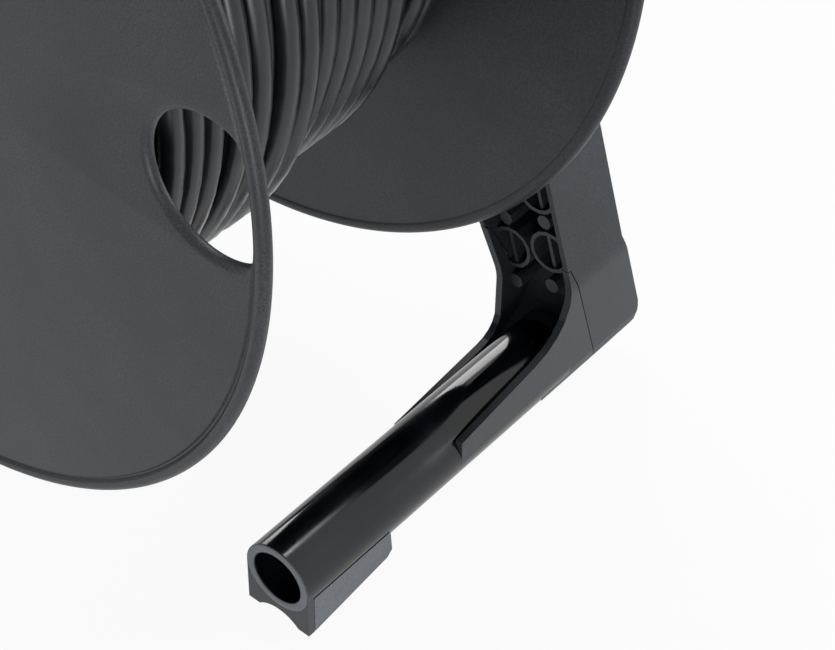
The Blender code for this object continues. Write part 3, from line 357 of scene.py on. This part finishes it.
def moulded_rubber(name, colour, roughness, pit):
    """Moulded rubber: dull and near black, with fine pits from the mould and a dusty bloom."""
    made = bpy.data.materials.new(name)
    made.use_nodes = True
    tree = made.node_tree
    shader = tree.nodes["Principled BSDF"]
    place = add_node(tree, "ShaderNodeTexCoord").outputs["Object"]
    pits = add_node(tree, "ShaderNodeTexNoise", [("Vector", place)], Scale=1 / pit, Detail=3.0)
    # Bloom and handling marks lie about 9 mm apart
    bloom = add_node(
        tree, "ShaderNodeTexNoise", [("Vector", place)], Scale=1 / (9 * mm), Detail=4.0
    )
    tone = add_node(tree, "ShaderNodeValToRGB", [("Fac", bloom.outputs["Fac"])])
    tone.color_ramp.elements[0].position = 0.35
    tone.color_ramp.elements[0].color = hex_colour(colour)
    tone.color_ramp.elements[1].position = 0.75
    tone.color_ramp.elements[1].color = [1.5 * c for c in hex_colour(colour)[:3]] + [1]
    bump = add_node(
        tree,
        "ShaderNodeBump",
        [("Height", pits.outputs["Fac"])],
        Strength=0.3,
        Distance=pit / 4,
    )
    tree.links.new(tone.outputs["Color"], shader.inputs["Base Color"])
    tree.links.new(bump.outputs["Normal"], shader.inputs["Normal"])
    shader.inputs["Roughness"].default_value = roughness
    shader.inputs["IOR"].default_value = 1.52
    return made


def anodised_aluminium(name, colour):
    """Black anodised turned aluminium: dark, satin, with fine turning lines round the axis."""
    made = bpy.data.materials.new(name)
    made.use_nodes = True
    tree = made.node_tree
    shader = tree.nodes["Principled BSDF"]
    place = add_node(tree, "ShaderNodeTexCoord").outputs["Object"]
    # Turning lines are 0.1 mm apart, drawn at 0.5 mm
    lines = add_node(
        tree, "ShaderNodeTexNoise", [("Vector", place)], Scale=1 / (0.5 * mm), Detail=2.0
    )
    gloss = add_node(
        tree,
        "ShaderNodeMapRange",
        [("Value", lines.outputs["Fac"])],
        To_Min=0.28,
        To_Max=0.46,
    )
    bump = add_node(
        tree,
        "ShaderNodeBump",
        [("Height", lines.outputs["Fac"])],
        Strength=0.12,
        Distance=0.05 * mm,
    )
    tree.links.new(gloss.outputs["Result"], shader.inputs["Roughness"])
    tree.links.new(bump.outputs["Normal"], shader.inputs["Normal"])
    shader.inputs["Base Color"].default_value = hex_colour(colour)
    shader.inputs["Metallic"].default_value = 0.85
    return made


BOOT_RUBBER = moulded_rubber("Moulded black rubber", "1d1e20", 0.62, 0.7 * mm)
SHELL_FINISH = anodised_aluminium("Black anodised aluminium", "34363a")
for end in ("inner", "outer"):
    finish_node(f"{end}_boot", BOOT_RUBBER)
    finish_node(f"{end}_cap", BOOT_RUBBER)
    finish_node(f"{end}_shell", SHELL_FINISH)
    finish_node(f"{end}_ring", SHELL_FINISH)


# Drum flanges
# Two discs of dark grey ABS, injection moulded with a fine spark-eroded grain. A shallow groove
# and a rounded bead run round each rim. The near flange has a round finger hole, which the rim
# band cuts off on one side, and the far one carries the bearing's boss.

FLANGE_R = 155 * mm
WEB_IN = 69.8 * mm
WEB_OUT = 72.8 * mm
BEAD_R = 2.0 * mm
BEAD_X = 71.3 * mm
RIM_EDGE_R = 151 * mm
HOLE_R = 20 * mm
HOLE_OUT = 138.7 * mm
HOLE_ANGLE = math.radians(3.2)
HOLE_LAND = 0.6 * mm
HOLE_LIP = 2.0 * mm
TIE_R = 67 * mm
TIE_HOLE_R = 2.8 * mm
TIE_ANGLES = [math.radians(45 + 90 * k) for k in range(4)]
CUP_OPENING_R = 62.8 * mm
BOSS_R = 19 * mm
BOSS_BORE_R = 12.2 * mm
BOSS_END_X = 54.8 * mm
HOLE_POINTS = 96
HOLE_CORNER = 14  # the higher, the sharper the corners where the hole meets the rim band
BEAD_STEPS = 16
ROUND_STEPS = 240
SHARP_FROM = math.radians(38)


def grained_abs(name, colour, light, grain, depth, roughness):
    """ABS with a spark-eroded grain: matt, and mottled a little by flow in the mould."""
    made = bpy.data.materials.new(name)
    made.use_nodes = True
    tree = made.node_tree
    shader = tree.nodes["Principled BSDF"]
    place = add_node(tree, "ShaderNodeTexCoord").outputs["Object"]
    pits = add_node(
        tree, "ShaderNodeTexNoise", [("Vector", place)], Scale=1 / grain, Detail=3.0, Roughness=0.6
    )
    # Flow marks lie about 30 mm apart
    flow = add_node(
        tree, "ShaderNodeTexNoise", [("Vector", place)], Scale=1 / (30 * mm), Detail=3.0
    )
    speck = add_node(
        tree,
        "ShaderNodeMapRange",
        [("Value", pits.outputs["Fac"])],
        From_Min=0.35,
        From_Max=0.7,
        To_Min=0.0,
        To_Max=1.0,
    )
    mottle = add_node(
        tree, "ShaderNodeMath", [(0, speck.outputs[0]), (1, flow.outputs["Fac"])],
        operation="MULTIPLY",
    )
    ramp = add_node(tree, "ShaderNodeValToRGB", [("Fac", mottle.outputs[0])])
    ramp.color_ramp.elements[0].position = 0.0
    ramp.color_ramp.elements[0].color = hex_colour(colour)
    ramp.color_ramp.elements[1].position = 0.6
    ramp.color_ramp.elements[1].color = hex_colour(light)
    bump = add_node(
        tree,
        "ShaderNodeBump",
        [("Height", pits.outputs["Fac"])],
        Strength=0.5,
        Distance=depth,
    )
    tree.links.new(ramp.outputs["Color"], shader.inputs["Base Color"])
    tree.links.new(bump.outputs["Normal"], shader.inputs["Normal"])
    shader.inputs["Roughness"].default_value = roughness
    shader.inputs["IOR"].default_value = 1.53
    # The grain breaks up the mirror share of the light
    shader.inputs["Specular IOR Level"].default_value = 0.3
    return made


def turned_mesh(name, profile, steps):
    """A closed solid of revolution round the drum's axis from (x, r) points."""
    solid = bmesh.new()
    rings = []
    for k in range(steps):
        rings.append([solid.verts.new(on_drum(x, r, 2 * math.pi * k / steps)) for x, r in profile])
    for k in range(steps):
        a, b = rings[k], rings[(k + 1) % steps]
        for j in range(len(profile)):
            i = (j + 1) % len(profile)
            solid.faces.new((a[j], a[i], b[i], b[j]))
    bmesh.ops.recalc_face_normals(solid, faces=solid.faces)
    mesh = bpy.data.meshes.new(name)
    solid.to_mesh(mesh)
    solid.free()
    return mesh


def stacked_mesh(name, outlines):
    """A closed solid through a stack of outlines with as many points each."""
    solid = bmesh.new()
    rings = [[solid.verts.new(p) for p in outline] for outline in outlines]
    for a, b in zip(rings, rings[1:]):
        for j in range(len(a)):
            i = (j + 1) % len(a)
            solid.faces.new((a[j], a[i], b[i], b[j]))
    solid.faces.new(rings[0])
    solid.faces.new(rings[-1])
    bmesh.ops.recalc_face_normals(solid, faces=solid.faces)
    mesh = bpy.data.meshes.new(name)
    solid.to_mesh(mesh)
    solid.free()
    return mesh


def piece(name, mesh, finish):
    """Links a mesh that was made round the drum's middle, in its real place."""
    mesh.transform(Matrix.Translation(AXLE))
    mesh.materials.append(finish)
    mesh.shade_smooth()
    mesh.set_sharp_from_angle(angle=SHARP_FROM)
    made = bpy.data.objects.new(name, mesh)
    bpy.context.scene.collection.objects.link(made)
    return made


def cut_out(made, cutters):
    """Cuts solids out of a piece and leaves plain mesh behind."""
    for cutter_mesh in cutters:
        cutter_mesh.transform(Matrix.Translation(AXLE))
        cutter = bpy.data.objects.new("cutter", cutter_mesh)
        bpy.context.scene.collection.objects.link(cutter)
        step = made.modifiers.new("cut", "BOOLEAN")
        step.operation = "DIFFERENCE"
        step.solver = "EXACT"
        step.object = cutter
        shape = bpy.data.meshes.new_from_object(
            made.evaluated_get(bpy.context.evaluated_depsgraph_get())
        )
        made.modifiers.clear()
        made.data = shape
        bpy.data.objects.remove(cutter)
    made.data.shade_smooth()
    made.data.set_sharp_from_angle(angle=SHARP_FROM)


def rim_profile(side, inner):
    """Flange section over the bead. inner is the hub's points before and after the rim's."""
    section = [
        (WEB_OUT, RIM_EDGE_R - 0.9 * mm),
        (WEB_OUT - 0.55 * mm, RIM_EDGE_R - 0.4 * mm),
        (WEB_OUT - 0.6 * mm, RIM_EDGE_R + 0.2 * mm),
        (WEB_OUT - 0.3 * mm, RIM_EDGE_R + 0.5 * mm),
        (BEAD_X + BEAD_R - 0.2 * mm, RIM_EDGE_R + 0.9 * mm),
    ]
    for k in range(BEAD_STEPS + 1):
        a = math.pi * k / BEAD_STEPS
        section.append((BEAD_X + BEAD_R * math.cos(a), FLANGE_R - BEAD_R + BEAD_R * math.sin(a)))
    section += [
        (BEAD_X - BEAD_R, RIM_EDGE_R + 0.8 * mm),
        (BEAD_X - BEAD_R + 0.2 * mm, RIM_EDGE_R + 0.35 * mm),
        (WEB_IN, RIM_EDGE_R),
    ]
    return [(side * x, r) for x, r in [*inner[0], *section, *inner[1]]]


def hole_outline(x, wider):
    """The finger hole at depth x, with soft corners where the rim band cuts it off."""
    limit = RIM_EDGE_R - HOLE_LAND + wider * 0.3
    outline = []
    for k in range(HOLE_POINTS):
        a = 2 * math.pi * k / HOLE_POINTS
        to_rim = math.sqrt(limit**2 - (HOLE_OUT * math.sin(a)) ** 2) - HOLE_OUT * math.cos(a)
        both = (HOLE_R + wider) ** -HOLE_CORNER + to_rim**-HOLE_CORNER
        reach = both ** (-1 / HOLE_CORNER)
        outline.append(Vector((x, -HOLE_OUT - reach * math.cos(a), reach * math.sin(a))))
    turn = Matrix.Rotation(-HOLE_ANGLE, 3, "X")
    return [turn @ p for p in outline]


def tie_holes(side):
    """Cutters for the four bolts through a flange."""
    holes = []
    for angle in TIE_ANGLES:
        middle = on_drum(0, TIE_R, angle)
        turns = [2 * math.pi * k / 24 for k in range(24)]
        rings = [
            [on_drum(side * x, TIE_HOLE_R, a) + middle for a in turns]
            for x in (WEB_IN - 2 * mm, WEB_OUT + 5 * mm)
        ]
        holes.append(stacked_mesh("tie_hole", rings))
    return holes


FLANGE_ABS = grained_abs("Grained dark grey ABS", "1e2024", "42464d", 0.5 * mm, 0.1 * mm, 0.42)
near_inner = ([(WEB_OUT, CUP_OPENING_R)], [(WEB_IN, CUP_OPENING_R)])
near_flange = piece(
    "flange_near_moulding",
    turned_mesh("flange_near_moulding", rim_profile(-1, near_inner), ROUND_STEPS),
    FLANGE_ABS,
)
# The hole's edge is well rounded outside and hardly at all inside
lip = [
    hole_outline(-WEB_OUT + HOLE_LIP * (1 - math.cos(a)), HOLE_LIP * (1 - math.sin(a)))
    for a in (math.pi / 2 * k / 6 for k in range(7))
]
finger_hole = stacked_mesh(
    "finger_hole",
    [
        hole_outline(-WEB_OUT - 4 * mm, HOLE_LIP + 1 * mm),
        *lip,
        hole_outline(-WEB_IN - 0.4 * mm, 0),
        hole_outline(-WEB_IN - 0.15 * mm, 0.15 * mm),
        hole_outline(-WEB_IN, 0.5 * mm),
        hole_outline(-WEB_IN + 4 * mm, 2 * mm),
    ],
)
cut_out(near_flange, [finger_hole, *tie_holes(-1)])
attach(near_flange, "drum")
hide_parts("flange_near")

far_inner = (
    [(BOSS_END_X, BOSS_R), (BOSS_END_X, BOSS_BORE_R), (WEB_OUT, BOSS_BORE_R)],
    [(WEB_IN, BOSS_R + 0.6 * mm)],
)
far_flange = piece(
    "flange_far_moulding",
    turned_mesh("flange_far_moulding", rim_profile(1, far_inner), ROUND_STEPS),
    FLANGE_ABS,
)
cut_out(far_flange, tie_holes(1))
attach(far_flange, "drum")
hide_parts("flange_far")


# Core tube and hub cup
# The core is a plain ABS tube between the flanges. The cup closes it at the near side, carries
# the near bearing and stows the inner connector. Both are moulded from the flanges' ABS.

CUP_ABS = grained_abs("Grained black ABS", "1f2124", "33363b", 0.55 * mm, 0.1 * mm, 0.5)
finish_node("core_tube", CUP_ABS)
finish_node("hub_cup", CUP_ABS)


# Through bolts, nuts, washers and axle
# Zinc plated steel: four bolts clamp the flanges on the core, and the axle is a turned bar with
# a collar, held by washers, a retaining ring and a nut behind the frame.

def plated_steel(name, colour, worn, roughness):
    """Bright zinc plate: cool grey, with a soft cloudy bloom and hair-fine marks."""
    made = bpy.data.materials.new(name)
    made.use_nodes = True
    tree = made.node_tree
    shader = tree.nodes["Principled BSDF"]
    place = add_node(tree, "ShaderNodeTexCoord").outputs["Object"]
    # Crystal bloom is 1 to 2 mm across
    bloom = add_node(
        tree, "ShaderNodeTexNoise", [("Vector", place)], Scale=1 / (1.6 * mm), Detail=5.0
    )
    tone = add_node(tree, "ShaderNodeValToRGB", [("Fac", bloom.outputs["Fac"])])
    tone.color_ramp.elements[0].position = 0.3
    tone.color_ramp.elements[0].color = hex_colour(worn)
    tone.color_ramp.elements[1].position = 0.7
    tone.color_ramp.elements[1].color = hex_colour(colour)
    gloss = add_node(
        tree,
        "ShaderNodeMapRange",
        [("Value", bloom.outputs["Fac"])],
        To_Min=roughness - 0.1,
        To_Max=roughness + 0.12,
    )
    bump = add_node(
        tree,
        "ShaderNodeBump",
        [("Height", bloom.outputs["Fac"])],
        Strength=0.1,
        Distance=0.05 * mm,
    )
    tree.links.new(tone.outputs["Color"], shader.inputs["Base Color"])
    tree.links.new(gloss.outputs["Result"], shader.inputs["Roughness"])
    tree.links.new(bump.outputs["Normal"], shader.inputs["Normal"])
    shader.inputs["Metallic"].default_value = 1.0
    return made


ZINC_PLATE = plated_steel("Zinc plated steel", "c3c6ca", "9a9ea4", 0.34)
for number in range(1, 5):
    finish_node(f"tie_bolt_{number}", ZINC_PLATE)
    finish_node(f"tie_nut_{number}", ZINC_PLATE)
for name in ("axle", "washer_near", "washer_far", "washer_back", "retaining_ring", "axle_nut"):
    finish_node(name, ZINC_PLATE)


# Bearing bushes
# Natural nylon, turned, which runs dry on the steel axle.

def natural_nylon(name, colour, roughness):
    """Natural nylon: milky off-white, waxy, a little light goes into it."""
    made = bpy.data.materials.new(name)
    made.use_nodes = True
    tree = made.node_tree
    shader = tree.nodes["Principled BSDF"]
    place = add_node(tree, "ShaderNodeTexCoord").outputs["Object"]
    # Grease and dust gather in patches about 5 mm across
    dust = add_node(
        tree, "ShaderNodeTexNoise", [("Vector", place)], Scale=1 / (5 * mm), Detail=4.0
    )
    tone = add_node(tree, "ShaderNodeValToRGB", [("Fac", dust.outputs["Fac"])])
    tone.color_ramp.elements[0].position = 0.35
    tone.color_ramp.elements[0].color = hex_colour("b9b5a8")
    tone.color_ramp.elements[1].position = 0.65
    tone.color_ramp.elements[1].color = hex_colour(colour)
    tree.links.new(tone.outputs["Color"], shader.inputs["Base Color"])
    shader.inputs["Roughness"].default_value = roughness
    shader.inputs["Subsurface Weight"].default_value = 0.1
    shader.inputs["Subsurface Radius"].default_value = (1 * mm, 1 * mm, 1 * mm)
    return made


BUSH_NYLON = natural_nylon("Natural nylon", "d6d2c6", 0.42)
finish_node("bush_near", BUSH_NYLON)
finish_node("bush_far", BUSH_NYLON)


# Side frame
# One injection moulding in slate grey ABS: an arch with two channel legs, open towards the
# drum, with rings and pins inside. The axle's nut hides under a cap of the same plastic.

FRAME_ABS = grained_abs("Grained slate ABS", "272b30", "434950", 0.45 * mm, 0.07 * mm, 0.46)
finish_node("side_frame", FRAME_ABS)
finish_node("axle_cap", FRAME_ABS)


# Feet, tip pads and heel pads
# Each foot is one ABS moulding: a tube from a polished mould, with two grained gussets that plug
# into a leg. A matt wedge holds up its tip, and a rubber block sits under the leg's heel.

TUBE_Y = 121.7 * mm
TUBE_DROP = -167.4 * mm
TUBE_R = 11.95 * mm
TUBE_BORE_R = 9.0 * mm
TUBE_TIP_X = -40.55 * mm
TUBE_END_X = 83.5 * mm
TUBE_SOFT = 0.5 * mm
TUBE_STEPS = 128
FOOT_GLOSS = jacket_plastic("Polished black ABS", "0b0e14", "151a23", 0.13)
# Painted highlight: the tube end's light grey stands in for light falling on the black ABS end
# face
END_PAINTED_LIGHT = grained_abs("Grained tube end ABS", "6c7178", "8a9098", 0.4 * mm, 0.05 * mm, 0.4)
FOOT_GRAIN = grained_abs("Grained slate foot ABS", "272b30", "434950", 0.45 * mm, 0.07 * mm, 0.42)
PAD_MATT = grained_abs("Matt grey polypropylene", "666b70", "8c9197", 0.5 * mm, 0.06 * mm, 0.55)


def polished_tube(name, side):
    """The tube's polished skin, with a small radius round its open end and a matt end face, whose
    light grey is a painted highlight for the light that falls on it.
    """
    quarter = [math.pi / 2 * k / 4 for k in range(5)]
    rises = [(1 - math.sin(a), 1 - math.cos(a)) for a in quarter]
    section = [(TUBE_END_X, TUBE_BORE_R), (TUBE_END_X, TUBE_R)]
    for along, inward in rises:
        section.append((TUBE_TIP_X + TUBE_SOFT * along, TUBE_R - TUBE_SOFT * inward))
    for outward, along in rises:
        section.append((TUBE_TIP_X + TUBE_SOFT * along, TUBE_BORE_R + TUBE_SOFT * outward))
    mesh = turned_mesh(name, section, TUBE_STEPS)
    mesh.transform(Matrix.Translation((0, side * TUBE_Y, TUBE_DROP)))
    made = piece(name, mesh, FOOT_GLOSS)
    mesh.materials.append(END_PAINTED_LIGHT)
    # The end face and most of its rounding are matt, and painted light grey in place of the black
    # as a painted highlight
    for face in mesh.polygons:
        if face.center.x < AXLE.x + TUBE_TIP_X + TUBE_SOFT * 0.6:
            face.material_index = 1
    return made


for corner, side in (("front", -1), ("rear", 1)):
    finish_node(f"foot_{corner}", FOOT_GRAIN)
    finish_node(f"tip_pad_{corner}", PAD_MATT)
    finish_node(f"heel_pad_{corner}", BOOT_RUBBER)
    tube = polished_tube(f"foot_tube_{corner}", side)
    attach(tube, "stand")


# Frame screws
# Small zinc plated screws from the back, two for each foot and two for the carrying bar.

for name in [f"foot_screw_{k}" for k in range(1, 5)] + ["bar_screw_front", "bar_screw_rear"]:
    finish_node(name, ZINC_PLATE)


# Carrying bar
# A black tube across the top of the drum with a soft ribbed grip and a push-in end cap.

GRIP_RUBBER = moulded_rubber("Soft grip rubber", "232427", 0.7, 0.9 * mm)
finish_node("carry_bar", FOOT_GLOSS)
finish_node("bar_end_cap", FOOT_GLOSS)
finish_node("bar_grip", GRIP_RUBBER)


# Drum brake
# A knob on a steel spindle turns in a brass insert and presses a rubber pad on the far flange.

# Turned brass: warm yellow, with darker patches of tarnish in place of the plate's bloom
TURNED_BRASS = plated_steel("Turned brass", "c9a45c", "a8813f", 0.32)
finish_node("brake_insert", TURNED_BRASS)
finish_node("brake_spindle", ZINC_PLATE)
finish_node("brake_pad", BOOT_RUBBER)
finish_node("brake_knob", CUP_ABS)
